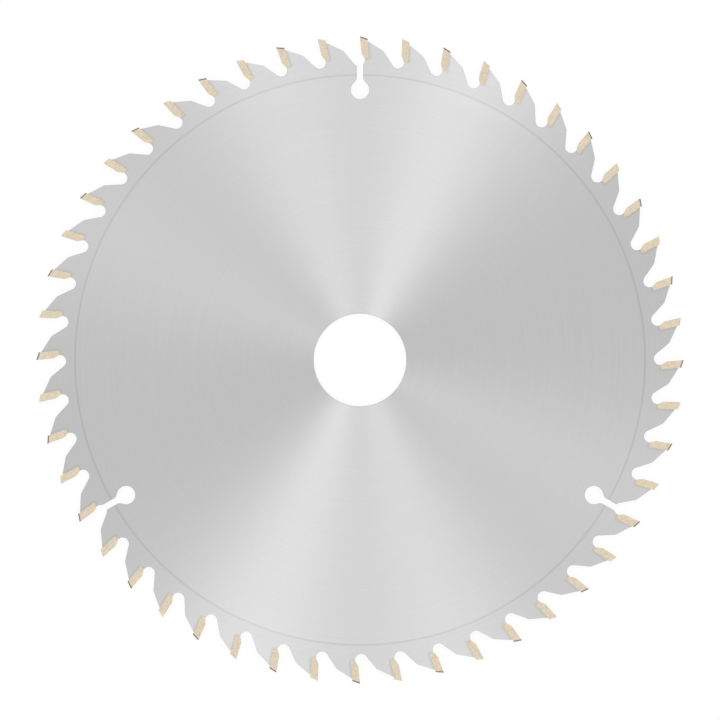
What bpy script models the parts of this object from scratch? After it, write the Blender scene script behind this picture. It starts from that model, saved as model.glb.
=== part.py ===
"""Circular saw blade with brazed carbide tips: 210 mm across, 2.8 mm kerf, 30 mm bore, 48 teeth.

The blade lies flat. Its arbor axis is +Z, and the origin is the bore's centre, half way through the
plate. Seen from +Z the teeth cut anticlockwise, and the first tooth's cutting point is on +Y.
"""

from math import asin, atan2, ceil, cos, pi, radians, sin, sqrt, tan

import bmesh
import bpy
from mathutils import Matrix, Vector

for old in list(bpy.data.objects):
    bpy.data.objects.remove(old)

# The blade as a whole: lengths in metres
BLADE_DIAMETER = 0.210
KERF = 0.0028
PLATE_THICKNESS = 0.0018
TOOTH_COUNT = 48

# The bore that fits the saw's arbor
BORE_DIAMETER = 0.030
BORE_CHAMFER = 0.0003

# The carbide tip: lengths in metres, angles in degrees
TIP_LENGTH = 0.00745
TIP_THICKNESS = 0.0024
HOOK_ANGLE = 5.0
RELIEF_ANGLE = 18.0
TOP_BEVEL_ANGLE = 10.0
TAPER_INWARD = 1.5
TAPER_BACKWARD = 1.5
TOE_DEPTH = 0.00094
TOE_ANGLE = 26.0

# The steel tooth that carries the tip
BRAZE_FILM = 0.0001
STEEL_DROP = 0.00091
LAND_LENGTH = 0.0059
LAND_ANGLE = 32.5
HEEL_RADIUS = 0.0008
GULLET_RADIUS = 0.00203
GULLET_LIP_ANGLE = 5.7

# The keyhole slots that let the rim expand when it is hot
# A slot's reach is how far its eye lies in from the middle of the gullet that it opens into. Above the
# eye its walls flare apart, by an angle in degrees, to touch the eye's round.
SLOT_COUNT = 3
SLOT_WIDTH = 0.00206
SLOT_REACH = 0.00976
SLOT_EYE_DIAMETER = 0.00596
SLOT_THROAT_RADIUS = 0.0018
SLOT_FLARE_ANGLE = 43.0
SLOT_MOUTH_RADIUS = 0.00025

# The fine ring scribed in both faces, set in from the bottoms of the gullets
RING_INSET = 0.00293
RING_WIDTH = 0.0007
RING_DEPTH = 0.00005

# How finely rounds are divided, and how much is left on for a tool to take off or pass through
ARC_STEP = 10.0
BORE_SEGMENTS = 120
RING_SEGMENTS = 180
CUT_OVERSHOOT = 0.001
SMOOTH_ANGLE = 30.0

TIP_RADIUS = BLADE_DIAMETER / 2
PITCH = 2 * pi / TOOTH_COUNT


def material(name, colour, roughness, metallic):
    """A plain finish for one sub-part."""
    made = bpy.data.materials.new(name)
    made.use_nodes = True
    shader = made.node_tree.nodes["Principled BSDF"]
    shader.inputs["Base Color"].default_value = (*colour, 1.0)
    shader.inputs["Roughness"].default_value = roughness
    shader.inputs["Metallic"].default_value = metallic
    return made


def finished_mesh(name, bm, finish=None):
    """Turn a bmesh into a mesh with its faces pointing out, smooth on its rounds."""
    bmesh.ops.recalc_face_normals(bm, faces=bm.faces[:])
    mesh = bpy.data.meshes.new(name)
    bm.to_mesh(mesh)
    bm.free()
    mesh.shade_smooth()
    mesh.set_sharp_from_angle(angle=radians(SMOOTH_ANGLE))
    if finish:
        mesh.materials.append(finish)
    return mesh


def placed(name, mesh):
    """Put a mesh in the scene as one named object."""
    item = bpy.data.objects.new(name, mesh)
    bpy.context.collection.objects.link(item)
    return item


# The plan of one tooth
# x runs back from the cutting edge along the rim, y runs out from the blade's centre, and the cutting
# point is at (0, TIP_RADIUS).


def on_radius(centre, radius, angle):
    """The point of a circle that lies at an angle."""
    return centre + radius * Vector((cos(angle), sin(angle)))


def arc(centre, radius, start, end):
    """Points along an arc, both ends included."""
    steps = max(1, ceil(abs(end - start) / radians(ARC_STEP)))
    return [on_radius(centre, radius, start + (end - start) * i / steps) for i in range(steps + 1)]


def heading(start, end):
    """The angle of the line from one point to another."""
    step = end - start
    return atan2(step.y, step.x)


def turned_by(point, angle):
    """A point of the plan, turned about the blade's centre."""
    return Matrix.Rotation(angle, 2) @ point


def beside_tip(back, down):
    """A point set off from the cutting point: back into the tooth, and down along the rake face."""
    hook = radians(HOOK_ANGLE)
    return Vector((down * sin(hook) + back * cos(hook), TIP_RADIUS - down * cos(hook) + back * sin(hook)))


def gullet_centre():
    """The gullet's round ends under the tip's toe, at the front of the ledge that the tip stands on."""
    lip = beside_tip(TOE_DEPTH, TIP_LENGTH + BRAZE_FILM)
    return lip - GULLET_RADIUS * Vector((cos(radians(GULLET_LIP_ANGLE)), sin(radians(GULLET_LIP_ANGLE))))


def seat_top():
    """The steel's corner behind the tip, a little lower than the tip's own back corner."""
    tip_fall = TIP_THICKNESS * tan(radians(HOOK_ANGLE + RELIEF_ANGLE))
    return beside_tip(TIP_THICKNESS + BRAZE_FILM, tip_fall + STEEL_DROP)


def heel():
    """The corner where the land behind the tip ends and the tooth's back drops into the next gullet."""
    land = radians(-LAND_ANGLE)
    return seat_top() + LAND_LENGTH * Vector((cos(land), sin(land)))


def back_heading(corner, centre):
    """The angle of the line from a heel that just touches the far gullet's round."""
    return heading(corner, centre) - asin(GULLET_RADIUS / (centre - corner).length)


def rounded_heel():
    """The heel with its corner rounded off."""
    corner = heel()
    land = radians(-LAND_ANGLE)
    back = back_heading(corner, turned_by(gullet_centre(), -PITCH))
    setback = HEEL_RADIUS * tan((land - back) / 2)
    start = corner - setback * Vector((cos(land), sin(land)))
    centre = on_radius(start, HEEL_RADIUS, land - pi / 2)
    return arc(centre, HEEL_RADIUS, land + pi / 2, back + pi / 2)


def mouth_centre(gullet_round, side):
    """Centre of the small round that joins one wall of a slot to the gullet's round above it."""
    x = side * (SLOT_WIDTH / 2 + SLOT_MOUTH_RADIUS)
    fall = sqrt((GULLET_RADIUS + SLOT_MOUTH_RADIUS) ** 2 - (x - gullet_round.x) ** 2)
    return Vector((x, gullet_round.y - fall))


def throat_centre(eye, flare):
    """Centre of the round between a slot's right wall and the straight flank that touches its eye."""
    x = SLOT_WIDTH / 2 + SLOT_THROAT_RADIUS
    rise = (SLOT_EYE_DIAMETER / 2 + SLOT_THROAT_RADIUS - x * cos(flare)) / sin(flare)
    return Vector((x, eye.y + rise))


def keyhole(above, left_mouth, right_mouth):
    """Down one wall of a slot, round its eye and up the other wall to the gullet's round above it."""
    eye = Vector((0, above.y - SLOT_REACH))
    flare = radians(SLOT_FLARE_ANGLE)
    throat = throat_centre(eye, flare)
    left_throat = Vector((-throat.x, throat.y))
    return (
        arc(left_mouth, SLOT_MOUTH_RADIUS, heading(left_mouth, above), 0)
        + arc(left_throat, SLOT_THROAT_RADIUS, 0, -flare)
        + arc(eye, SLOT_EYE_DIAMETER / 2, pi - flare, 2 * pi + flare)
        + arc(throat, SLOT_THROAT_RADIUS, pi + flare, pi)
        + arc(right_mouth, SLOT_MOUTH_RADIUS, pi, heading(right_mouth, above))
    )


def gullet(slotted):
    """The gullet's round, from the last tooth's back to this tooth's seat, with or without a slot."""
    centre = gullet_centre()
    start = back_heading(turned_by(heel(), PITCH), centre) - pi / 2
    end = radians(GULLET_LIP_ANGLE)
    if not slotted:
        return arc(centre, GULLET_RADIUS, start, end)
    left_mouth = mouth_centre(centre, -1)
    right_mouth = mouth_centre(centre, 1)
    return (
        arc(centre, GULLET_RADIUS, start, heading(centre, left_mouth))[:-1]
        + keyhole(centre, left_mouth, right_mouth)
        + arc(centre, GULLET_RADIUS, heading(centre, right_mouth), end)[1:]
    )


def tooth_outline(slotted):
    """The edge of the steel over one pitch: gullet, seat, land and heel."""
    ledge_end = beside_tip(TIP_THICKNESS + BRAZE_FILM, TIP_LENGTH + BRAZE_FILM)
    return gullet(slotted) + [ledge_end, seat_top()] + rounded_heel()


def plate_outline():
    """The whole edge of the steel: the tooth repeated round the rim, with slots in some gullets."""
    slotted = {round(i * TOOTH_COUNT / SLOT_COUNT) for i in range(SLOT_COUNT)}
    outline = []
    for tooth in range(TOOTH_COUNT):
        outline += [turned_by(point, -PITCH * tooth) for point in tooth_outline(tooth in slotted)]
    return outline


# The steel plate


def turned_cutter(name, profile, segments, closed):
    """A cutting tool turned about the arbor axis from a profile of radius and height."""
    bm = bmesh.new()
    corners = [bm.verts.new((radius, 0, height)) for radius, height in profile]
    for start, end in zip(corners, corners[1:] + corners[:1] if closed else corners[1:]):
        bm.edges.new((start, end))
    bmesh.ops.spin(
        bm,
        geom=bm.verts[:] + bm.edges[:],
        cent=(0, 0, 0),
        axis=(0, 0, 1),
        angle=2 * pi,
        steps=segments,
        use_merge=True,
    )
    bmesh.ops.remove_doubles(bm, verts=bm.verts[:], dist=1e-7)
    cutter = placed(name, finished_mesh(name, bm))
    cutter.hide_render = True
    cutter.display_type = "WIRE"
    return cutter


def bore_reamer():
    """Cuts the bore, and breaks its edge at both faces."""
    radius = BORE_DIAMETER / 2
    face = PLATE_THICKNESS / 2
    flare = radius + BORE_CHAMFER + CUT_OVERSHOOT
    end = face + CUT_OVERSHOOT
    profile = [
        (0, -end),
        (flare, -end),
        (radius, BORE_CHAMFER - face),
        (radius, face - BORE_CHAMFER),
        (flare, end),
        (0, end),
    ]
    return turned_cutter("bore_reamer", profile, BORE_SEGMENTS, False)


def ring_graver(name, side):
    """Scribes the ring in one face, as a shallow V."""
    radius = gullet_centre().length - GULLET_RADIUS - RING_INSET
    face = side * PLATE_THICKNESS / 2
    depth = side * RING_DEPTH
    profile = [
        (radius, face - depth),
        (radius + RING_WIDTH, face + depth),
        (radius - RING_WIDTH, face + depth),
    ]
    return turned_cutter(name, profile, RING_SEGMENTS, True)


def saw_plate(finish):
    """The plate: its outline cut from sheet, then bored and scribed."""
    bm = bmesh.new()
    lower = -PLATE_THICKNESS / 2
    sheet = bm.faces.new([bm.verts.new((point.x, point.y, lower)) for point in plate_outline()])
    raised = bmesh.ops.extrude_face_region(bm, geom=[sheet])["geom"]
    bmesh.ops.translate(
        bm,
        vec=(0, 0, PLATE_THICKNESS),
        verts=[item for item in raised if isinstance(item, bmesh.types.BMVert)],
    )
    plate = placed("saw_plate", finished_mesh("saw_plate", bm, finish))
    for cutter in (bore_reamer(), ring_graver("upper_graver", 1), ring_graver("lower_graver", -1)):
        cut = plate.modifiers.new(cutter.name, "BOOLEAN")
        cut.operation = "DIFFERENCE"
        cut.object = cutter
    plate.modifiers.new("facets", "TRIANGULATE").ngon_method = "BEAUTY"
    return plate


# The carbide tips


def grind(bm, point, normal):
    """Take everything beyond a plane off a solid, and close the ground face."""
    cut = bmesh.ops.bisect_plane(
        bm,
        geom=bm.verts[:] + bm.edges[:] + bm.faces[:],
        plane_co=point,
        plane_no=normal,
        clear_outer=True,
    )["geom_cut"]
    bmesh.ops.edgeloop_fill(bm, edges=[item for item in cut if isinstance(item, bmesh.types.BMEdge)])


def tip_mesh(name, bevel_side, finish):
    """One tip: a pressed blank, ground on its toe, top and flanks.

    x runs back from the rake face, y runs up it, and the cutting corner is half a kerf from the middle,
    on the side that the top bevel faces away from.
    """
    bm = bmesh.new()
    middle = Matrix.Translation((TIP_THICKNESS / 2, (CUT_OVERSHOOT - TIP_LENGTH) / 2, 0))
    size = Matrix.Diagonal((TIP_THICKNESS, TIP_LENGTH + CUT_OVERSHOOT, KERF + 2 * CUT_OVERSHOOT, 1))
    bmesh.ops.create_cube(bm, size=1, matrix=middle @ size)

    toe = radians(TOE_ANGLE)
    grind(bm, Vector((TOE_DEPTH, -TIP_LENGTH, 0)), Vector((-cos(toe), -sin(toe), 0)))

    fall_back = tan(radians(HOOK_ANGLE + RELIEF_ANGLE))
    fall_across = bevel_side * tan(radians(TOP_BEVEL_ANGLE))
    grind(bm, Vector((0, 0, -bevel_side * KERF / 2)), Vector((fall_back, 1, fall_across)))

    inward = tan(radians(TAPER_INWARD))
    backward = tan(radians(TAPER_BACKWARD))
    for side in (1, -1):
        grind(bm, Vector((0, 0, side * KERF / 2)), Vector((backward, -inward, side)))
    return finished_mesh(name, bm, finish)


def carbide_tips(plate, finish):
    """A tip in every seat, their top bevels facing up and down in turn."""
    meshes = [tip_mesh("tip_bevel_up", 1, finish), tip_mesh("tip_bevel_down", -1, finish)]
    for tooth in range(TOOTH_COUNT):
        angle = -PITCH * tooth
        tip = placed(f"carbide_tip_{tooth + 1:02d}", meshes[tooth % 2])
        tip.parent = plate
        tip.location = turned_by(Vector((0, TIP_RADIUS)), angle).to_3d()
        tip.rotation_euler.z = angle + radians(HOOK_ANGLE)


steel = material("ground_steel", (0.69, 0.69, 0.69), 0.42, 1.0)
carbide = material("sintered_carbide", (0.74, 0.63, 0.46), 0.55, 0.0)
carbide_tips(saw_plate(steel), carbide)
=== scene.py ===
from math import asin, atan2, ceil, cos, pi, radians, sin, sqrt, tan

import bmesh
import bpy
from mathutils import Matrix, Vector


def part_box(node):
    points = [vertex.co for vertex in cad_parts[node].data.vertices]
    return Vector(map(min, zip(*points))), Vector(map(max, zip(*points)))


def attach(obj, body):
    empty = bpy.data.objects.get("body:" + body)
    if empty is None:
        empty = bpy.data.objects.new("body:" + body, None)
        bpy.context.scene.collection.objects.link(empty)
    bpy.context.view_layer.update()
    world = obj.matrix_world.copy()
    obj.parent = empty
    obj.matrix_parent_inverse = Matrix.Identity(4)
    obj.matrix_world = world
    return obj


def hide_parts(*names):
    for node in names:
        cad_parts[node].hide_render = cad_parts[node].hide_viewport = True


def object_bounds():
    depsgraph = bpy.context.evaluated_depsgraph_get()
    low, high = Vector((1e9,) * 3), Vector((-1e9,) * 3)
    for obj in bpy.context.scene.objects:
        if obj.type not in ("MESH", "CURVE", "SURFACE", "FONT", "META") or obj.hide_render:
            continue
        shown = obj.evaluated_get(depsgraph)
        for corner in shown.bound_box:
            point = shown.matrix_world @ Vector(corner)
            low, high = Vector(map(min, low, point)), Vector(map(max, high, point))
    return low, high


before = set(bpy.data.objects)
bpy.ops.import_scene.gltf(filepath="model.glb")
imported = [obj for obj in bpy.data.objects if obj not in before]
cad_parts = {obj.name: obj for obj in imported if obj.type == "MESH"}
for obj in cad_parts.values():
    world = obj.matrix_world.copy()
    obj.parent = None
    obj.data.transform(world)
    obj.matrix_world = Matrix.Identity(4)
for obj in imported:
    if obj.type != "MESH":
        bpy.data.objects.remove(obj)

cad_low, cad_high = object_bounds()

# Saw plate: one disc of tool steel, laser cut from sheet and ground flat in circles round its bore.
# The cut also makes the hooked teeth, the notched seats for the tips and the three keyhole slots that
# let the rim grow when hot. A fine ring is scribed in each face, and every edge is lightly broken.

TOOTH_COUNT = 48
SLOT_COUNT = 3
PITCH = 2 * pi / TOOTH_COUNT
BLADE_RADIUS = cad_high.y
PLATE_LOW, PLATE_HIGH = (corner.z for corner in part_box("saw_plate"))

BORE_RADIUS = 0.015
BORE_CHAMFER = 0.0003
EDGE_BREAK = 0.00006

HOOK_ANGLE = radians(5)
RELIEF_ANGLE = radians(18)
TIP_LENGTH = 0.00745
TIP_THICKNESS = 0.0024
TOE_DEPTH = 0.00094

BRAZE_FILM = 0.0001
STEEL_DROP = 0.00091
LAND_LENGTH = 0.0059
LAND_ANGLE = radians(32.5)
HEEL_RADIUS = 0.0008
GULLET_RADIUS = 0.00203
GULLET_LIP_ANGLE = radians(5.7)

SLOT_WIDTH = 0.00206
SLOT_REACH = 0.00976
SLOT_EYE_RADIUS = 0.00298
SLOT_THROAT_RADIUS = 0.0018
SLOT_FLARE_ANGLE = radians(43)
SLOT_MOUTH_RADIUS = 0.00025

RING_INSET = 0.00293
RING_WIDTH = 0.0007
RING_DEPTH = 0.00005

ARC_STEP = radians(6)
CIRCLE_POINTS = 360
WELD_DISTANCE = 1e-6
SHARP_ANGLE = radians(10)

# How a cut edge is told from the plate's other edges: it lies level, and bends by more than this
# angle. The bore's lies within so many bore radii of the middle. A wall's normal rises or falls by
# less than the tilt.
FLAT_CLIMB = 1e-5
CUT_EDGE_BEND = 1.0
BORE_REACH = 1.5
WALL_TILT = 0.5

STEEL_COLOUR = (0.550, 0.550, 0.550)
STEEL_ROUGHNESS = 0.42
# Painted light: how much lighter the bore's chamfer is painted than the faces
CHAMFER_PAINTED_LIGHT = 1.12
# Painted shade of the scribed ring's groove: how dark the ring is painted, and the widths it spans
RING_PAINTED_SHADE = 0.885
RING_CORE = 0.35 * RING_WIDTH
RING_REACH = 0.65 * RING_WIDTH
CUT_COLOUR = (0.46, 0.46, 0.46)
CUT_STRETCH = (1, 1, 0.06)

# A noise lies about its middle and seldom strays further from it than its reach. A grinding line
# changes on its way round the bore as a noise does over this many line widths.
NOISE_MIDDLE = 0.5
NOISE_REACH = 0.25
LINE_CHANGE = 3


def heading(start, end):
    """The angle of the line from one point of the plan to another."""
    step = end - start
    return atan2(step.y, step.x)


def arc(centre, radius, start, end):
    """Points along an arc, both ends included."""
    steps = max(1, ceil(abs(end - start) / ARC_STEP))
    angles = [start + (end - start) * i / steps for i in range(steps + 1)]
    return [centre + radius * Vector((cos(angle), sin(angle))) for angle in angles]


def turned_by(point, angle):
    """A point of the plan, turned about the bore."""
    return Matrix.Rotation(angle, 2) @ point


def beside_tip(back, down):
    """A point set off from the cutting point: back into the tooth, and down along the rake face."""
    along = Vector((sin(HOOK_ANGLE), -cos(HOOK_ANGLE)))
    across = Vector((cos(HOOK_ANGLE), sin(HOOK_ANGLE)))
    return Vector((0, BLADE_RADIUS)) + down * along + back * across


toe_end = beside_tip(TOE_DEPTH, TIP_LENGTH + BRAZE_FILM)
gullet = toe_end - GULLET_RADIUS * Vector((cos(GULLET_LIP_ANGLE), sin(GULLET_LIP_ANGLE)))
tip_fall = TIP_THICKNESS * tan(HOOK_ANGLE + RELIEF_ANGLE)
seat_corner = beside_tip(TIP_THICKNESS + BRAZE_FILM, TIP_LENGTH + BRAZE_FILM)
seat_top = beside_tip(TIP_THICKNESS + BRAZE_FILM, tip_fall + STEEL_DROP)
land = Vector((cos(LAND_ANGLE), -sin(LAND_ANGLE)))
heel = seat_top + LAND_LENGTH * land
to_gullet = turned_by(gullet, -PITCH) - heel
back_angle = atan2(to_gullet.y, to_gullet.x) - asin(GULLET_RADIUS / to_gullet.length)
ring_radius = gullet.length - GULLET_RADIUS - RING_INSET


def rounded_heel():
    """The heel of a tooth, its corner rounded off between the land and the back."""
    setback = HEEL_RADIUS * tan((-LAND_ANGLE - back_angle) / 2)
    centre = heel - setback * land - HEEL_RADIUS * Vector((sin(LAND_ANGLE), cos(LAND_ANGLE)))
    return arc(centre, HEEL_RADIUS, pi / 2 - LAND_ANGLE, pi / 2 + back_angle)


def mouth_centre(side):
    """Centre of the small round that joins one wall of a slot to the gullet's round above it."""
    x = side * (SLOT_WIDTH / 2 + SLOT_MOUTH_RADIUS)
    fall = sqrt((GULLET_RADIUS + SLOT_MOUTH_RADIUS) ** 2 - (x - gullet.x) ** 2)
    return Vector((x, gullet.y - fall))


def throat_centre(eye):
    """Centre of the round between a slot's right wall and the straight flank that touches its eye."""
    x = SLOT_WIDTH / 2 + SLOT_THROAT_RADIUS
    rise = (SLOT_EYE_RADIUS + SLOT_THROAT_RADIUS - x * cos(SLOT_FLARE_ANGLE)) / sin(SLOT_FLARE_ANGLE)
    return Vector((x, eye.y + rise))


def keyhole(left_mouth, right_mouth):
    """Down one wall of a slot, round its eye and up the other wall."""
    eye = Vector((0, gullet.y - SLOT_REACH))
    throat = throat_centre(eye)
    left_throat = Vector((-throat.x, throat.y))
    return (
        arc(left_mouth, SLOT_MOUTH_RADIUS, heading(left_mouth, gullet), 0)
        + arc(left_throat, SLOT_THROAT_RADIUS, 0, -SLOT_FLARE_ANGLE)
        + arc(eye, SLOT_EYE_RADIUS, pi - SLOT_FLARE_ANGLE, 2 * pi + SLOT_FLARE_ANGLE)
        + arc(throat, SLOT_THROAT_RADIUS, pi + SLOT_FLARE_ANGLE, pi)
        + arc(right_mouth, SLOT_MOUTH_RADIUS, pi, heading(right_mouth, gullet))
    )


def gullet_round(slotted):
    """The gullet's round, from the last tooth's back to this tooth's seat, with or without a slot."""
    start = back_angle + PITCH - pi / 2
    if not slotted:
        return arc(gullet, GULLET_RADIUS, start, GULLET_LIP_ANGLE)
    left = mouth_centre(-1)
    right = mouth_centre(1)
    return (
        arc(gullet, GULLET_RADIUS, start, heading(gullet, left))[:-1]
        + keyhole(left, right)
        + arc(gullet, GULLET_RADIUS, heading(gullet, right), GULLET_LIP_ANGLE)[1:]
    )


def scene_object(name, mesh):
    """Put a mesh in the scene at the origin."""
    made = bpy.data.objects.new(name, mesh)
    bpy.context.collection.objects.link(made)
    return made


def tooth_edge(name, slotted):
    """The plate's edge over one pitch as a chain of edges, up to where the next tooth begins."""
    points = gullet_round(slotted) + [seat_corner, seat_top] + rounded_heel()
    points.append(turned_by(gullet_round(False)[0], -PITCH))
    edges = [(i, i + 1) for i in range(len(points) - 1)]
    mesh = bpy.data.meshes.new(name)
    mesh.from_pydata([point.to_3d() for point in points], edges, [])
    return scene_object(name, mesh)


def add_node(tree, kind, inputs=None, **options):
    """Add a node to a tree, set its options, and set or wire its inputs."""
    node = tree.nodes.new(kind)
    for option, value in options.items():
        setattr(node, option, value)
    for name, value in (inputs or {}).items():
        for item in value if isinstance(value, list) else [value]:
            if isinstance(item, bpy.types.NodeSocket):
                tree.links.new(item, node.inputs[name])
            else:
                node.inputs[name].default_value = item
    return node


def calculated(tree, operation, *values):
    """The result of a sum on values or sockets."""
    node = add_node(tree, "ShaderNodeMath", dict(enumerate(values)), operation=operation)
    return node.outputs[0]


def geometry_tree(name, **sockets):
    """A geometry tree with named inputs, and the sockets that bring them in."""
    tree = bpy.data.node_groups.new(name, "GeometryNodeTree")
    for label, kind in sockets.items():
        label = label.replace("_", " ")
        tree.interface.new_socket(name=label, in_out="INPUT", socket_type=f"NodeSocket{kind}")
    tree.interface.new_socket(name="Geometry", in_out="OUTPUT", socket_type="NodeSocketGeometry")
    return tree, tree.nodes.new("NodeGroupInput").outputs


def grown(name, tree, **values):
    """An object grown by a geometry tree, with the tree's inputs set by their identifiers."""
    made = scene_object(name, bpy.data.meshes.new(name))
    modifier = made.modifiers.new(tree.name, "NODES")
    modifier.node_group = tree
    for item in tree.interface.items_tree:
        label = item.name.replace(" ", "_")
        if item.in_out == "INPUT" and label in values:
            modifier[item.identifier] = values[label]
    return made


def made_plain(piece, *helpers):
    """Turn what the modifiers make into the piece's own mesh, without an empty first material slot,
    and clear the helpers away."""
    shaped = piece.evaluated_get(bpy.context.evaluated_depsgraph_get())
    mesh = bpy.data.meshes.new_from_object(shaped)
    if mesh.materials[0] is None:
        slots = [max(0, face.material_index - 1) for face in mesh.polygons]
        mesh.materials.pop(index=0)
        mesh.polygons.foreach_set("material_index", slots)
    piece.modifiers.clear()
    piece.data = mesh
    for helper in helpers:
        bpy.data.objects.remove(helper)
    return piece


def round_the_rim(tree, teeth, template, selection=True):
    """Copies of an object on the chosen teeth, each turned to its place about the bore."""
    index = add_node(tree, "GeometryNodeInputIndex").outputs[0]
    turn = calculated(tree, "MULTIPLY", calculated(tree, "DIVIDE", index, teeth), -2 * pi)
    points = add_node(tree, "GeometryNodeMeshLine", {"Count": teeth, "Offset": (0, 0, 0)})
    shape = add_node(tree, "GeometryNodeObjectInfo", {"Object": template})
    spin = add_node(tree, "ShaderNodeCombineXYZ", {"Z": turn})
    inputs = {
        "Points": points.outputs["Mesh"],
        "Instance": shape.outputs["Geometry"],
        "Selection": selection,
        "Rotation": spin.outputs[0],
    }
    return add_node(tree, "GeometryNodeInstanceOnPoints", inputs).outputs[0]


def welded(tree, geometry):
    """A mesh with the points that meet made one."""
    inputs = {"Geometry": geometry, "Distance": WELD_DISTANCE}
    return add_node(tree, "GeometryNodeMergeByDistance", inputs).outputs[0]


def plate_tree():
    """The plate: the tooth edge repeated round the rim, filled, given its thickness and its finish."""
    tree, given = geometry_tree(
        "toothed_plate",
        Teeth="Int",
        Teeth_per_slot="Int",
        Plain_tooth="Object",
        Slotted_tooth="Object",
        Bore_radius="Float",
        Bore_points="Int",
        Underside="Float",
        Thickness="Float",
        Edge_share="Float",
        Face_finish="Material",
        Edge_finish="Material",
    )
    index = add_node(tree, "GeometryNodeInputIndex").outputs[0]
    remainder = calculated(tree, "MODULO", index, given["Teeth per slot"])
    slotted = calculated(tree, "LESS_THAN", remainder, 0.5)
    plain = calculated(tree, "SUBTRACT", 1, slotted)
    teeth = [
        round_the_rim(tree, given["Teeth"], given["Plain tooth"], plain),
        round_the_rim(tree, given["Teeth"], given["Slotted tooth"], slotted),
    ]
    chain = add_node(tree, "GeometryNodeJoinGeometry", {"Geometry": teeth}).outputs[0]
    chain = add_node(tree, "GeometryNodeRealizeInstances", {"Geometry": chain}).outputs[0]
    chain = welded(tree, chain)
    rim = add_node(tree, "GeometryNodeMeshToCurve", {"Mesh": chain}).outputs[0]
    bore_inputs = {"Resolution": given["Bore points"], "Radius": given["Bore radius"]}
    bore = add_node(tree, "GeometryNodeCurvePrimitiveCircle", bore_inputs).outputs[0]
    curves = add_node(tree, "GeometryNodeJoinGeometry", {"Geometry": [rim, bore]}).outputs[0]
    sheet = add_node(tree, "GeometryNodeFillCurve", {"Curve": curves}, mode="NGONS").outputs[0]

    lift = add_node(tree, "ShaderNodeCombineXYZ", {"Z": given["Underside"]}).outputs[0]
    sheet = add_node(tree, "GeometryNodeSetPosition", {"Geometry": sheet, "Offset": lift}).outputs[0]
    up = add_node(tree, "ShaderNodeCombineXYZ", {"Z": 1.0}).outputs[0]
    thick_inputs = {
        "Mesh": sheet,
        "Offset": up,
        "Offset Scale": given["Thickness"],
        "Individual": False,
    }
    thick = add_node(tree, "GeometryNodeExtrudeMesh", thick_inputs).outputs["Mesh"]
    under = add_node(tree, "GeometryNodeFlipFaces", {"Mesh": sheet}).outputs[0]
    solid = add_node(tree, "GeometryNodeJoinGeometry", {"Geometry": [thick, under]}).outputs[0]
    solid = welded(tree, solid)

    ends = add_node(tree, "GeometryNodeInputMeshEdgeVertices").outputs
    span_inputs = {0: ends["Position 1"], 1: ends["Position 2"]}
    span = add_node(tree, "ShaderNodeVectorMath", span_inputs, operation="SUBTRACT").outputs[0]
    climb = add_node(tree, "ShaderNodeSeparateXYZ", {0: span}).outputs["Z"]
    flat = calculated(tree, "LESS_THAN", calculated(tree, "ABSOLUTE", climb), FLAT_CLIMB)
    bend = add_node(tree, "GeometryNodeInputMeshEdgeAngle").outputs["Unsigned Angle"]
    sharp = calculated(tree, "GREATER_THAN", bend, CUT_EDGE_BEND)
    cut_edge = calculated(tree, "MULTIPLY", flat, sharp)
    out_inputs = {0: ends["Position 1"]}
    out = add_node(tree, "ShaderNodeVectorMath", out_inputs, operation="LENGTH").outputs["Value"]
    bore_reach = calculated(tree, "MULTIPLY", given["Bore radius"], BORE_REACH)
    at_bore = calculated(tree, "LESS_THAN", out, bore_reach)
    weight = calculated(tree, "MAXIMUM", at_bore, given["Edge share"])
    weight = calculated(tree, "MULTIPLY", weight, cut_edge)
    weighed = {"Geometry": solid, "Name": "bevel_weight_edge", "Value": weight}
    store = add_node(tree, "GeometryNodeStoreNamedAttribute", weighed, data_type="FLOAT", domain="EDGE")
    solid = store.outputs[0]

    normal = add_node(tree, "GeometryNodeInputNormal").outputs[0]
    tilt = add_node(tree, "ShaderNodeSeparateXYZ", {0: normal}).outputs["Z"]
    wall = calculated(tree, "LESS_THAN", calculated(tree, "ABSOLUTE", tilt), WALL_TILT)
    faced_inputs = {"Geometry": solid, "Material": given["Face finish"]}
    faced = add_node(tree, "GeometryNodeSetMaterial", faced_inputs).outputs[0]
    edged_inputs = {"Geometry": faced, "Selection": wall, "Material": given["Edge finish"]}
    edged = add_node(tree, "GeometryNodeSetMaterial", edged_inputs).outputs[0]
    add_node(tree, "NodeGroupOutput", {"Geometry": edged})
    return tree


def finish(name):
    """A new finish: the material, its tree and its shader."""
    made = bpy.data.materials.new(name)
    made.use_nodes = True
    return made, made.node_tree, made.node_tree.nodes["Principled BSDF"]


def effect(name, inputs, outputs):
    """A group of shader nodes with named inputs and outputs, and the sockets of both."""
    tree = bpy.data.node_groups.new(name, "ShaderNodeTree")
    for label, kind in inputs.items():
        tree.interface.new_socket(name=label, in_out="INPUT", socket_type=f"NodeSocket{kind}")
    for label, kind in outputs.items():
        tree.interface.new_socket(name=label, in_out="OUTPUT", socket_type=f"NodeSocket{kind}")
    return tree, tree.nodes.new("NodeGroupInput").outputs, tree.nodes.new("NodeGroupOutput").inputs


def use_effect(tree, group, **values):
    """Use an effect in a material, on its object coordinates, and give its outputs."""
    node = add_node(tree, "ShaderNodeGroup", node_tree=group)
    tree.links.new(add_node(tree, "ShaderNodeTexCoord").outputs["Object"], node.inputs["Vector"])
    for label, value in values.items():
        node.inputs[label.replace("_", " ")].default_value = value
    return node.outputs


def toned(tree, colour, *tones):
    """A colour made lighter and darker by one or more tones."""
    tone = tones[0]
    for other in tones[1:]:
        tone = calculated(tree, "MULTIPLY", tone, other)
    scaled = add_node(tree, "ShaderNodeVectorMath", {0: colour, "Scale": tone}, operation="SCALE")
    return scaled.outputs[0]


def raised(tree, height, shader, depth):
    """Bumps of a given depth on a shader's surface."""
    bump = add_node(tree, "ShaderNodeBump", {"Height": height, "Strength": 1.0, "Distance": depth})
    tree.links.new(bump.outputs[0], shader.inputs["Normal"])


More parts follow.
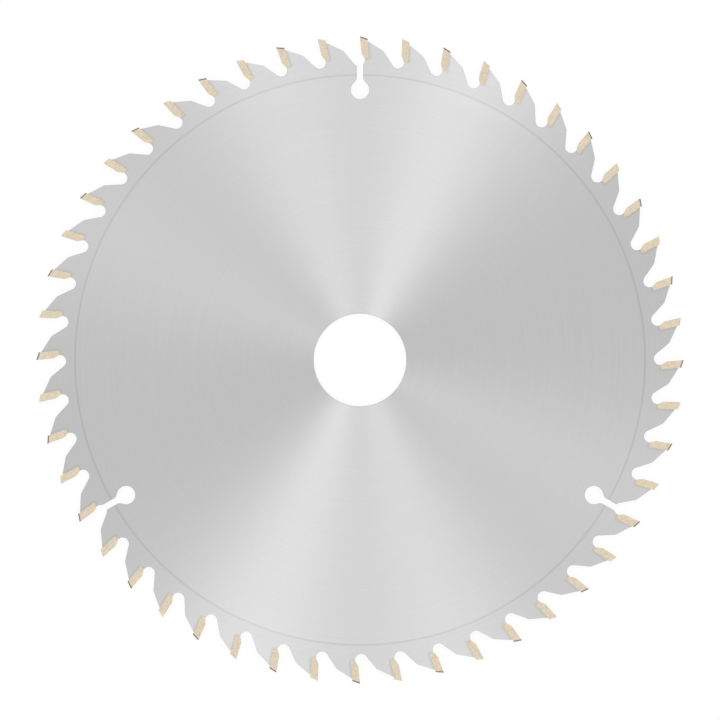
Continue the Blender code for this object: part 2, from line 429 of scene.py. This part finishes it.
def about_middle(tree, noise, size):
    """How far a noise strays from its middle, times a size."""
    return calculated(tree, "MULTIPLY", calculated(tree, "SUBTRACT", noise, NOISE_MIDDLE), size)


def roughened(tree, height, shader, roughness, spread):
    """A roughness that strays from its mean as the height of the surface does."""
    stray = about_middle(tree, height, spread)
    tree.links.new(calculated(tree, "ADD", stray, roughness), shader.inputs["Roughness"])


def brushed(tree, height, shader):
    """Bare metal whose sheen is drawn out across the circles that it was ground in."""
    shader.inputs["Metallic"].default_value = 1.0
    roughened(tree, height, shader, roughness=STEEL_ROUGHNESS, spread=0.2)
    shader.inputs["Anisotropic"].default_value = 0.85
    shader.inputs["Anisotropic Rotation"].default_value = 0.25
    round_the_bore = add_node(tree, "ShaderNodeTangent", direction_type="RADIAL", axis="Z")
    tree.links.new(round_the_bore.outputs[0], shader.inputs["Tangent"])


def tone_of(tree, noise, strength):
    """A tone about one that follows a noise, from one strength darker to one strength lighter."""
    swing = about_middle(tree, noise, strength)
    return calculated(tree, "MULTIPLY_ADD", swing, 1 / NOISE_REACH, 1)


# A fine grain that lightens and darkens a surface over grains of a given size
grain, given, made = effect(
    "fine_grain",
    {"Vector": "Vector", "Grain size": "Float", "Strength": "Float"},
    {"Tone": "Float", "Height": "Float"},
)
grain_scale = calculated(grain, "DIVIDE", 1, given["Grain size"])
grain_inputs = {"Vector": given["Vector"], "Scale": grain_scale, "Detail": 2.0, "Roughness": 0.6}
grain_noise = add_node(grain, "ShaderNodeTexNoise", grain_inputs).outputs[0]
grain.links.new(tone_of(grain, grain_noise, given["Strength"]), made["Tone"])
grain.links.new(grain_noise, made["Height"])

# The lines a grinding wheel leaves in circles round the bore
circles, given, made = effect(
    "circular_grinding",
    {"Vector": "Vector", "Line width": "Float", "Strength": "Float"},
    {"Tone": "Float", "Height": "Float", "Radius": "Float"},
)
in_plan_inputs = {0: given["Vector"], 1: (1, 1, 0)}
in_plan = add_node(circles, "ShaderNodeVectorMath", in_plan_inputs, operation="MULTIPLY").outputs[0]
radius = add_node(circles, "ShaderNodeVectorMath", {0: in_plan}, operation="LENGTH").outputs["Value"]
outward = add_node(circles, "ShaderNodeVectorMath", {0: in_plan}, operation="NORMALIZE").outputs[0]
outward_parts = add_node(circles, "ShaderNodeSeparateXYZ", {0: outward}).outputs
line_place_inputs = {
    "X": calculated(circles, "DIVIDE", radius, given["Line width"]),
    "Y": calculated(circles, "MULTIPLY", outward_parts["X"], LINE_CHANGE),
    "Z": calculated(circles, "MULTIPLY", outward_parts["Y"], LINE_CHANGE),
}
line_place = add_node(circles, "ShaderNodeCombineXYZ", line_place_inputs).outputs[0]
line_inputs = {"Vector": line_place, "Scale": 0.5, "Detail": 3.0, "Roughness": 0.7}
lines = add_node(circles, "ShaderNodeTexNoise", line_inputs).outputs[0]
circles.links.new(tone_of(circles, lines, given["Strength"]), made["Tone"])
circles.links.new(lines, made["Height"])
circles.links.new(radius, made["Radius"])

ground_steel, ground_tree, ground_shader = finish("plate_ground_faces")
ground_lines = use_effect(ground_tree, circles, Line_width=0.00015, Strength=0.02)
fine_lines = use_effect(ground_tree, circles, Line_width=0.00005, Strength=0.04)
ground_grain = use_effect(ground_tree, grain, Grain_size=0.0006, Strength=0.014)
# Painted shade: the ring is painted darker across its width, for the shade in its shallow groove.
from_ring = calculated(ground_tree, "SUBTRACT", ground_lines["Radius"], ring_radius)
ring_inputs = {
    "Value": calculated(ground_tree, "ABSOLUTE", from_ring),
    "From Min": RING_CORE,
    "From Max": RING_REACH,
    "To Min": RING_PAINTED_SHADE,
    "To Max": 1.0,
}
ring_range = add_node(ground_tree, "ShaderNodeMapRange", ring_inputs, interpolation_type="SMOOTHSTEP")
ring_painted_shade = ring_range.outputs[0]
# Painted light: the bore's chamfer is painted lighter than the faces round it.
at_chamfer = calculated(ground_tree, "LESS_THAN", ground_lines["Radius"], BORE_RADIUS + BORE_CHAMFER)
chamfer_painted_light = calculated(ground_tree, "MULTIPLY_ADD", at_chamfer, CHAMFER_PAINTED_LIGHT - 1, 1)
ground_tones = [ground_lines["Tone"], fine_lines["Tone"], ground_grain["Tone"], ring_painted_shade, chamfer_painted_light]
ground_colour = toned(ground_tree, STEEL_COLOUR, *ground_tones)
ground_tree.links.new(ground_colour, ground_shader.inputs["Base Color"])
raised(ground_tree, ground_lines["Height"], ground_shader, depth=0.000001)
brushed(ground_tree, fine_lines["Height"], ground_shader)

cut_steel, cut_tree, cut_shader = finish("plate_cut_edges")
cut_stretch = {0: add_node(cut_tree, "ShaderNodeTexCoord").outputs["Object"], 1: CUT_STRETCH}
cut_place = add_node(cut_tree, "ShaderNodeVectorMath", cut_stretch, operation="MULTIPLY").outputs[0]
cut_inputs = {"Vector": cut_place, "Grain size": 0.00018, "Strength": 0.18}
cut_lines = add_node(cut_tree, "ShaderNodeGroup", cut_inputs, node_tree=grain).outputs
cut_tree.links.new(toned(cut_tree, CUT_COLOUR, cut_lines["Tone"]), cut_shader.inputs["Base Color"])
raised(cut_tree, cut_lines["Height"], cut_shader, depth=0.00002)
roughened(cut_tree, cut_lines["Height"], cut_shader, roughness=STEEL_ROUGHNESS, spread=0.4)
cut_shader.inputs["Metallic"].default_value = 1.0


def ring_graver(face, side):
    """The tool that scribes the ring in one face: a shallow V turned about the bore."""
    bm = bmesh.new()
    depth = side * RING_DEPTH
    profile = [(0, -depth), (RING_WIDTH, depth), (-RING_WIDTH, depth)]
    corners = [bm.verts.new((ring_radius + x, 0, face + z)) for x, z in profile]
    for start, end in zip(corners, corners[1:] + corners[:1]):
        bm.edges.new((start, end))
    profile_geometry = bm.verts[:] + bm.edges[:]
    turn = {"axis": (0, 0, 1), "angle": 2 * pi, "steps": CIRCLE_POINTS}
    bmesh.ops.spin(bm, geom=profile_geometry, use_merge=True, **turn)
    bmesh.ops.recalc_face_normals(bm, faces=bm.faces[:])
    mesh = bpy.data.meshes.new("ring_graver")
    bm.to_mesh(mesh)
    bm.free()
    mesh.materials.append(ground_steel)
    return scene_object("ring_graver", mesh)


plain_tooth = tooth_edge("plain_tooth", False)
slotted_tooth = tooth_edge("slotted_tooth", True)
saw_plate = grown(
    "ground_saw_plate",
    plate_tree(),
    Teeth=TOOTH_COUNT,
    Teeth_per_slot=TOOTH_COUNT // SLOT_COUNT,
    Plain_tooth=plain_tooth,
    Slotted_tooth=slotted_tooth,
    Bore_radius=BORE_RADIUS,
    Bore_points=CIRCLE_POINTS,
    Underside=PLATE_LOW,
    Thickness=PLATE_HIGH - PLATE_LOW,
    Edge_share=EDGE_BREAK / BORE_CHAMFER,
    Face_finish=ground_steel,
    Edge_finish=cut_steel,
)
broken_edges = saw_plate.modifiers.new("broken_edges", "BEVEL")
broken_edges.limit_method = "WEIGHT"
broken_edges.offset_type = "OFFSET"
broken_edges.width = BORE_CHAMFER
broken_edges.segments = 1
broken_edges.material = 0
gravers = [ring_graver(PLATE_HIGH, 1), ring_graver(PLATE_LOW, -1)]
for graver in gravers:
    scribed = saw_plate.modifiers.new("scribed", "BOOLEAN")
    scribed.operation = "DIFFERENCE"
    scribed.object = graver
made_plain(saw_plate, plain_tooth, slotted_tooth, *gravers)
saw_plate.data.shade_smooth()
saw_plate.data.set_sharp_from_angle(angle=SHARP_ANGLE)
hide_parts("saw_plate")
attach(saw_plate, "root")

# Carbide tips: small blocks of sintered tungsten carbide, pressed to shape and ground after brazing on
# the top, the face and both sides. The tops are bevelled one way and the other in turn, so that the
# teeth shear the wood at both walls of the cut.

KERF = cad_high.z - cad_low.z
TOP_BEVEL_ANGLE = radians(10)
SIDE_TAPER = radians(1.5)
TOE_ANGLE = radians(26)
TIP_EDGE_BREAK = 0.00004
BLANK_EXCESS = 0.001

# How far out a ground top faces, and how far forward a rake face
TOP_FACING = 0.7
RAKE_FACING = 0.95

ROSY_CARBIDE = (0.747, 0.604, 0.478, 1)
STRAW_CARBIDE = (0.719, 0.648, 0.454, 1)
GROUND_CARBIDE = (0.43, 0.413, 0.375)
GROUND_CARBIDE_TINT = (0.152, 0.152, 0.149, 1)


def grind(bm, point, normal):
    """Take everything beyond a plane off a solid, and close the ground face."""
    everything = bm.verts[:] + bm.edges[:] + bm.faces[:]
    cut = bmesh.ops.bisect_plane(bm, geom=everything, plane_co=point, plane_no=normal, clear_outer=True)
    edges = [item for item in cut["geom_cut"] if isinstance(item, bmesh.types.BMEdge)]
    bmesh.ops.edgeloop_fill(bm, edges=edges)


def carbide_tip(name, bevel_side):
    """One tip on the first tooth, with its ground top and rake face marked."""
    bm = bmesh.new()
    middle = Matrix.Translation((TIP_THICKNESS / 2, (BLANK_EXCESS - TIP_LENGTH) / 2, 0))
    size = Matrix.Diagonal((TIP_THICKNESS, TIP_LENGTH + BLANK_EXCESS, KERF + 2 * BLANK_EXCESS, 1))
    bmesh.ops.create_cube(bm, size=1, matrix=middle @ size)
    top = Vector((tan(HOOK_ANGLE + RELIEF_ANGLE), 1, bevel_side * tan(TOP_BEVEL_ANGLE)))
    grind(bm, Vector((TOE_DEPTH, -TIP_LENGTH, 0)), Vector((-cos(TOE_ANGLE), -sin(TOE_ANGLE), 0)))
    grind(bm, Vector((0, 0, -bevel_side * KERF / 2)), top)
    for side in (1, -1):
        grind(bm, Vector((0, 0, side * KERF / 2)), Vector((tan(SIDE_TAPER), -tan(SIDE_TAPER), side)))
    bmesh.ops.recalc_face_normals(bm, faces=bm.faces[:])
    ground = bm.faces.layers.bool.new("ground")
    for face in bm.faces:
        face[ground] = face.normal.y > TOP_FACING or face.normal.x < -RAKE_FACING
    pressed = [edge for edge in bm.edges if not any(face[ground] for face in edge.link_faces)]
    edge_break = {"offset": TIP_EDGE_BREAK, "segments": 1, "affect": "EDGES", "clamp_overlap": True}
    bmesh.ops.bevel(bm, geom=pressed, **edge_break)
    place = Matrix.Translation((0, BLADE_RADIUS, 0)) @ Matrix.Rotation(HOOK_ANGLE, 4, "Z")
    bm.transform(place)
    mesh = bpy.data.meshes.new(name)
    bm.to_mesh(mesh)
    bm.free()
    return scene_object(name, mesh)


def rim_tree():
    """Pieces set round the rim, one kind on every other tooth, with a finish for their ground faces."""
    tree, given = geometry_tree(
        "set_round_the_rim",
        Teeth="Int",
        Even_piece="Object",
        Odd_piece="Object",
        Body_finish="Material",
        Ground_finish="Material",
    )
    index = add_node(tree, "GeometryNodeInputIndex").outputs[0]
    odd = calculated(tree, "MODULO", index, 2)
    even = calculated(tree, "SUBTRACT", 1, odd)
    pieces = [
        round_the_rim(tree, given["Teeth"], given["Even piece"], even),
        round_the_rim(tree, given["Teeth"], given["Odd piece"], odd),
    ]
    joined = add_node(tree, "GeometryNodeJoinGeometry", {"Geometry": pieces}).outputs[0]
    real = add_node(tree, "GeometryNodeRealizeInstances", {"Geometry": joined}).outputs[0]
    body_inputs = {"Geometry": real, "Material": given["Body finish"]}
    body = add_node(tree, "GeometryNodeSetMaterial", body_inputs).outputs[0]
    marks = add_node(tree, "GeometryNodeInputNamedAttribute", {"Name": "ground"}, data_type="BOOLEAN")
    ground = marks.outputs["Attribute"]
    ground_inputs = {"Geometry": body, "Selection": ground, "Material": given["Ground finish"]}
    done = add_node(tree, "GeometryNodeSetMaterial", ground_inputs).outputs[0]
    add_node(tree, "NodeGroupOutput", {"Geometry": done})
    return tree


sintered_carbide, sintered_tree, sintered_shader = finish("tip_pressed_sides")
sintered_grain = use_effect(sintered_tree, grain, Grain_size=0.0004, Strength=0.17)
sintered_clouds = use_effect(sintered_tree, grain, Grain_size=0.0013, Strength=0.09)
sintered_hues = use_effect(sintered_tree, grain, Grain_size=0.0009, Strength=0.7)
sintered_warmth = use_effect(sintered_tree, grain, Grain_size=0.0007, Strength=0.12)
straw_share = calculated(sintered_tree, "SUBTRACT", sintered_hues["Tone"], 0.5)
hue_inputs = {0: straw_share, 6: ROSY_CARBIDE, 7: STRAW_CARBIDE}
carbide_hues = add_node(sintered_tree, "ShaderNodeMix", hue_inputs, data_type="RGBA").outputs[2]
warmth_inputs = {"X": 1.0, "Y": 1.0, "Z": sintered_warmth["Tone"]}
warmth = add_node(sintered_tree, "ShaderNodeCombineXYZ", warmth_inputs).outputs[0]
warm_inputs = {0: carbide_hues, 1: warmth}
warm_hues = add_node(sintered_tree, "ShaderNodeVectorMath", warm_inputs, operation="MULTIPLY").outputs[0]
sintered_colour = toned(sintered_tree, warm_hues, sintered_grain["Tone"], sintered_clouds["Tone"])
sintered_tree.links.new(sintered_colour, sintered_shader.inputs["Base Color"])
raised(sintered_tree, sintered_grain["Height"], sintered_shader, depth=0.00001)
roughened(sintered_tree, sintered_grain["Height"], sintered_shader, roughness=0.55, spread=0.4)
sintered_shader.inputs["Specular IOR Level"].default_value = 0.3

ground_carbide, carbide_tree, carbide_shader = finish("tip_ground_faces")
carbide_grain = use_effect(carbide_tree, grain, Grain_size=0.0001, Strength=0.05)
carbide_lines = use_effect(carbide_tree, circles, Line_width=0.00003, Strength=0.06)
carbide_colour = toned(carbide_tree, GROUND_CARBIDE, carbide_grain["Tone"], carbide_lines["Tone"])
carbide_tree.links.new(carbide_colour, carbide_shader.inputs["Base Color"])
raised(carbide_tree, carbide_lines["Height"], carbide_shader, depth=0.000001)
roughened(carbide_tree, carbide_lines["Height"], carbide_shader, roughness=0.45, spread=0.3)
carbide_shader.inputs["Metallic"].default_value = 1.0
carbide_shader.inputs["Specular Tint"].default_value = GROUND_CARBIDE_TINT

bevel_up = carbide_tip("tip_bevel_up", 1)
bevel_down = carbide_tip("tip_bevel_down", -1)
tips = grown(
    "carbide_tips",
    rim_tree(),
    Teeth=TOOTH_COUNT,
    Even_piece=bevel_up,
    Odd_piece=bevel_down,
    Body_finish=sintered_carbide,
    Ground_finish=ground_carbide,
)
made_plain(tips, bevel_up, bevel_down)
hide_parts(*[f"carbide_tip_{tooth + 1:02d}" for tooth in range(TOOTH_COUNT)])
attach(tips, "root")

# Braze: silver solder that holds each tip, run in hot as a film a tenth of a millimetre thick behind and
# under it. The film is painted paler round the corner under the foot: painted light that lifts the
# shade beside the tip's side there. On each face of the plate it ends in a small fillet against the tip
# and a thin skin that has wetted the steel beside the seat.

SKIN_WIDTH = 0.0005
SKIN_THICKNESS = 0.00002
FILLET_RADIUS = 0.00008
CLEARANCE = 0.000002
CORNER_STEPS = 4
BRAZE_SHARP_ANGLE = radians(40)
BRAZE_COLOUR = (0.508, 0.503, 0.492)
# Painted light: how much paler the film is painted round the corner under the foot
FOOT_PAINTED_LIGHT = 0.11


def braze_section(half_plate):
    """Half the section of the joint, from the tip outwards: distance off the tip, and height."""
    film = BRAZE_FILM - CLEARANCE
    over = half_plate + CLEARANCE
    skin = over + SKIN_THICKNESS
    fillet = []
    for i in range(CORNER_STEPS + 1):
        turn = pi / 2 * i / CORNER_STEPS
        off = CLEARANCE + FILLET_RADIUS * (1 - cos(turn))
        fillet.append((off, skin + FILLET_RADIUS * (1 - sin(turn))))
    edge = film + SKIN_WIDTH
    return fillet + [(film, skin), (edge - SKIN_THICKNESS, skin), (edge, over), (film, over)]


def braze_joint(name):
    """The braze of the first tooth: its section carried down behind the tip and in under it."""
    middle = (PLATE_LOW + PLATE_HIGH) / 2
    half = braze_section(PLATE_HIGH - middle)
    section = half + [(off, -height) for off, height in reversed(half)]
    along_land = tan(LAND_ANGLE + HOOK_ANGLE)
    path = [(TIP_THICKNESS, tip_fall + STEEL_DROP + CLEARANCE, 0.0, along_land)]
    path += [(TIP_THICKNESS, TIP_LENGTH, pi / 2 * i / CORNER_STEPS, 0.0) for i in range(CORNER_STEPS + 1)]
    path.append((TOE_DEPTH, TIP_LENGTH, pi / 2, 0.0))
    verts = []
    paleness = []
    for back, down, turn, slope in path:
        for off, height in section:
            sunk = slope * max(0.0, off - BRAZE_FILM)
            point = beside_tip(back + off * cos(turn), down + off * sin(turn) + sunk)
            verts.append((point.x, point.y, middle + height))
            # Painted light: the film is painted paler as it turns in under the foot.
            paleness.append(turn / (pi / 2) if off < BRAZE_FILM else 0.0)
    count = len(section)
    faces = [tuple(range(count)), tuple(range((len(path) - 1) * count, len(path) * count))[::-1]]
    for i in range(len(path) - 1):
        for j in range(count):
            k = (j + 1) % count
            faces.append((i * count + j, (i + 1) * count + j, (i + 1) * count + k, i * count + k))
    mesh = bpy.data.meshes.new(name)
    mesh.from_pydata(verts, [], faces)
    mesh.attributes.new("paleness", "FLOAT", "POINT").data.foreach_set("value", paleness)
    return scene_object(name, mesh)


silver_braze, braze_tree, braze_shader = finish("braze_silver")
braze_grain = use_effect(braze_tree, grain, Grain_size=0.0003, Strength=0.06)
# Painted light under the foot, against the shade beside the tip's side.
foot_light_share = add_node(braze_tree, "ShaderNodeAttribute", attribute_name="paleness").outputs["Fac"]
foot_light_tone = calculated(braze_tree, "MULTIPLY_ADD", foot_light_share, FOOT_PAINTED_LIGHT, 1)
braze_colour = toned(braze_tree, BRAZE_COLOUR, braze_grain["Tone"], foot_light_tone)
braze_tree.links.new(braze_colour, braze_shader.inputs["Base Color"])
brushed(braze_tree, braze_grain["Height"], braze_shader)

joint = braze_joint("braze_joint")
braze = grown(
    "braze",
    bpy.data.node_groups["set_round_the_rim"],
    Teeth=TOOTH_COUNT,
    Even_piece=joint,
    Odd_piece=joint,
    Body_finish=silver_braze,
    Ground_finish=silver_braze,
)
made_plain(braze, joint)
braze.data.shade_smooth()
braze.data.set_sharp_from_angle(angle=BRAZE_SHARP_ANGLE)
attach(braze, "root")

# Setting: the blade lies on a plain white floor that glows a little by itself, so that the background
# is white under a plain level of light. Three pairs of soft lamps draw the bright fans on the ground
# steel, and the camera looks straight down from far off.

FLOOR_HALF = 3.0
FLOOR_TONE = 0.8
SHADOW_SHARE = 0.1
SHOWN_LEVEL = 1.01
SKY_LEVEL = 0.74
VIEW_WIDTH = 0.2335
LENS = 1000.0

# Azimuth in degrees and power in watts of each pair of facing softboxes
SOFTBOXES = [(69, 4.45), (108, 3.45), (154, 1.64)]
SOFTBOX_DISTANCE = 2.5
SOFTBOX_WIDTH = 0.6
SOFTBOX_TILT = radians(35)


def grey(level):
    """A grey as a colour socket takes it."""
    return (level, level, level, 1)


def background_ray(tree):
    """One for the rays that show the background: the camera's, and those off metal or through glass."""
    path = add_node(tree, "ShaderNodeLightPath").outputs
    shiny = calculated(tree, "MAXIMUM", path["Is Glossy Ray"], path["Is Transmission Ray"])
    return calculated(tree, "MAXIMUM", path["Is Camera Ray"], shiny)


floor_mesh = bpy.data.meshes.new("floor")
floor_corners = [(-1, -1), (1, -1), (1, 1), (-1, 1)]
floor_points = [(x * FLOOR_HALF, y * FLOOR_HALF, cad_low.z) for x, y in floor_corners]
floor_mesh.from_pydata(floor_points, [], [(0, 1, 2, 3)])
floor = scene_object("floor", floor_mesh)
floor_finish, floor_tree, floor_shader = finish("floor")
floor_tree.nodes.remove(floor_shader)
lit = add_node(floor_tree, "ShaderNodeBsdfDiffuse", {"Color": grey(FLOOR_TONE)})
dim = add_node(floor_tree, "ShaderNodeBsdfDiffuse", {"Color": grey(SHADOW_SHARE)})
glow_inputs = {"Color": grey(1), "Strength": SHOWN_LEVEL - SHADOW_SHARE}
glow = add_node(floor_tree, "ShaderNodeEmission", glow_inputs)
shown = add_node(floor_tree, "ShaderNodeAddShader", {0: dim.outputs[0], 1: glow.outputs[0]})
floor_inputs = {0: background_ray(floor_tree), 1: lit.outputs[0], 2: shown.outputs[0]}
floor_surface = add_node(floor_tree, "ShaderNodeMixShader", floor_inputs).outputs[0]
floor_tree.links.new(floor_surface, floor_tree.nodes["Material Output"].inputs["Surface"])
floor_mesh.materials.append(floor_finish)

world = bpy.data.worlds.new("studio")
world.use_nodes = True
bpy.context.scene.world = world
world_tree = world.node_tree
backdrop = world_tree.nodes["Background"]
backdrop.inputs["Color"].default_value = grey(1)
level_inputs = {0: background_ray(world_tree), 2: SKY_LEVEL, 3: 1.0}
level = add_node(world_tree, "ShaderNodeMix", level_inputs, data_type="FLOAT").outputs[0]
world_tree.links.new(level, backdrop.inputs["Strength"])

for azimuth, power in SOFTBOXES:
    for turn in (radians(azimuth), radians(azimuth + 180)):
        lamp_data = bpy.data.lights.new("softbox", "AREA")
        lamp_data.shape = "DISK"
        lamp_data.size = SOFTBOX_WIDTH
        lamp_data.energy = power
        lamp = bpy.data.objects.new("softbox", lamp_data)
        away = Vector((sin(SOFTBOX_TILT) * cos(turn), sin(SOFTBOX_TILT) * sin(turn), cos(SOFTBOX_TILT)))
        lamp.location = SOFTBOX_DISTANCE * away
        lamp.rotation_euler = away.to_track_quat("Z", "Y").to_euler()
        lamp.visible_camera = False
        bpy.context.collection.objects.link(lamp)

camera_data = bpy.data.cameras.new("camera")
camera_data.lens = LENS
camera_data.clip_end = 100
camera = bpy.data.objects.new("camera", camera_data)
camera.location.z = VIEW_WIDTH / 2 / (camera_data.sensor_width / 2 / LENS)
bpy.context.collection.objects.link(camera)
bpy.context.scene.camera = camera

bpy.context.scene.view_settings.view_transform = "Standard"
